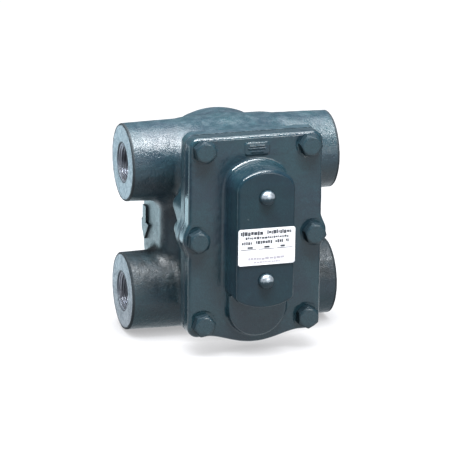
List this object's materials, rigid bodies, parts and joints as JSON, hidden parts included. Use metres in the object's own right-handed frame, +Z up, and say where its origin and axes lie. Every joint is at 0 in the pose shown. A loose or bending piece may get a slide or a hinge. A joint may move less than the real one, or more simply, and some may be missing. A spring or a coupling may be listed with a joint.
{
  "type": "steam trap",
  "caption": "Float and thermostatic steam trap: screwed H-pattern cast body with side inlets above and outlets below, and a bolted cover that carries the float valve and air vent.",
  "frame": {"origin": "under the middle of the trap, at the height of its lowest point: 27.65 mm in front of the plane of the two port axes and 74.85 mm below the centre of the four ports", "axes": "+Z up, +X towards the right-hand ports, -Y out of the front cover; the port axes run along X"},
  "size_m": [0.149, 0.1384, 0.1526],
  "materials": {
    "painted_iron": "blue-grey paint on rough sand casting",
    "cover_iron": "blue-grey paint on sand casting",
    "bolt_steel": "painted over",
    "gasket": "graphite sheet",
    "label_white": "white printed label",
    "bright_steel": "bright",
    "stainless": "drawn and machined stainless steel",
    "brass": "machined",
    "copper": "soft copper"
  },
  "bodies": {
    "trap_body": {"body_casting": "painted_iron", "cover_casting": "cover_iron", "cover_gasket": "gasket", "cover_bolt_upper_left": "bolt_steel", "cover_bolt_upper_right": "bolt_steel", "cover_bolt_middle_left": "bolt_steel", "cover_bolt_middle_right": "bolt_steel", "cover_bolt_lower_left": "bolt_steel", "cover_bolt_lower_right": "bolt_steel", "label_plate": "label_white", "upper_channel_plug": "bright_steel", "lower_channel_plug": "bright_steel", "main_valve_seat": "stainless", "main_seat_gasket": "copper", "pivot_bracket": "stainless", "bracket_screw_left": "stainless", "bracket_screw_right": "stainless", "pivot_pin": "stainless", "pivot_pin_clip": "bright_steel", "vent_seat": "stainless", "vent_cage": "stainless", "vent_capsule": "bright_steel", "capsule_clip": "bright_steel"},
    "float_arm": {"float_lever": "stainless", "float_ball": "stainless", "float_nut": "brass"},
    "main_valve": {"main_valve_head": "stainless", "valve_link_pin": "stainless"},
    "air_vent_valve": {"vent_valve": "stainless"}
  },
  "joints": [
    {"name": "float_lever_pivot", "type": "hinge", "parent": "trap_body", "child": "float_arm", "pos_m": [0, -0.01585, 0.07085], "axis": [1, 0, 0], "range_deg": [0, 18]},
    {"name": "main_valve_lift", "type": "slide", "parent": "trap_body", "child": "main_valve", "axis": [0, 1, 0], "range_m": [0, 0.0044]},
    {"name": "air_vent_travel", "type": "slide", "parent": "trap_body", "child": "air_vent_valve", "axis": [0, -1, 0], "range_m": [0, 0.0015]}
  ],
  "couplings": [
    {"joint": "main_valve_lift", "follows": "float_lever_pivot", "m_per_rad": 0.0137}
  ]
}
